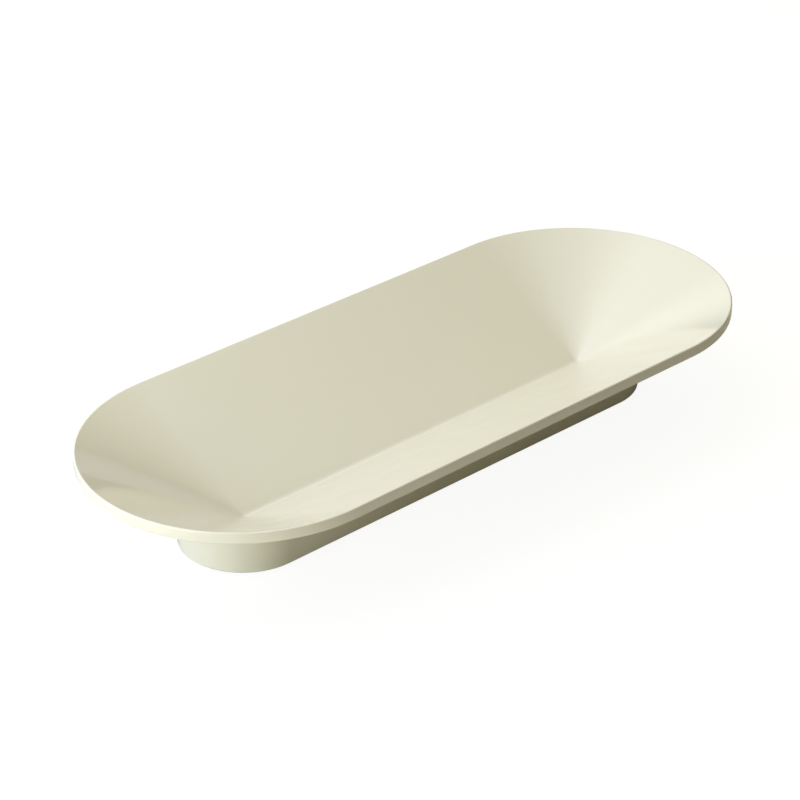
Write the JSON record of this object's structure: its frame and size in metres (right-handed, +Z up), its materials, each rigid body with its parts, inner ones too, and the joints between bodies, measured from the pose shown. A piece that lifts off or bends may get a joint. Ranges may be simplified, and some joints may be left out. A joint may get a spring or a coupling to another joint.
{
  "type": "serving bowl",
  "caption": "Long low serving bowl in cream lacquered sheet metal: a V-shaped trough with half-cone ends and a turned-down rim, on a recessed stadium foot with thin pads.",
  "frame": {"origin": "on the table, under the middle of the bowl", "axes": "+X along the bowl's length, +Y across it from front to back, +Z up"},
  "size_m": [0.52, 0.2145, 0.0712],
  "materials": {
    "dish_lacquer": "smooth semi-gloss cream lacquer",
    "foot_lacquer": "smooth semi-gloss cream lacquer",
    "pad_silicone": "matte grey silicone"
  },
  "bodies": {
    "root": {"dish": "dish_lacquer", "foot_skirt": "foot_lacquer", "pad_front_left": "pad_silicone", "pad_front_middle": "pad_silicone", "pad_front_right": "pad_silicone", "pad_back_left": "pad_silicone", "pad_back_middle": "pad_silicone", "pad_back_right": "pad_silicone"}
  },
  "joints": []
}
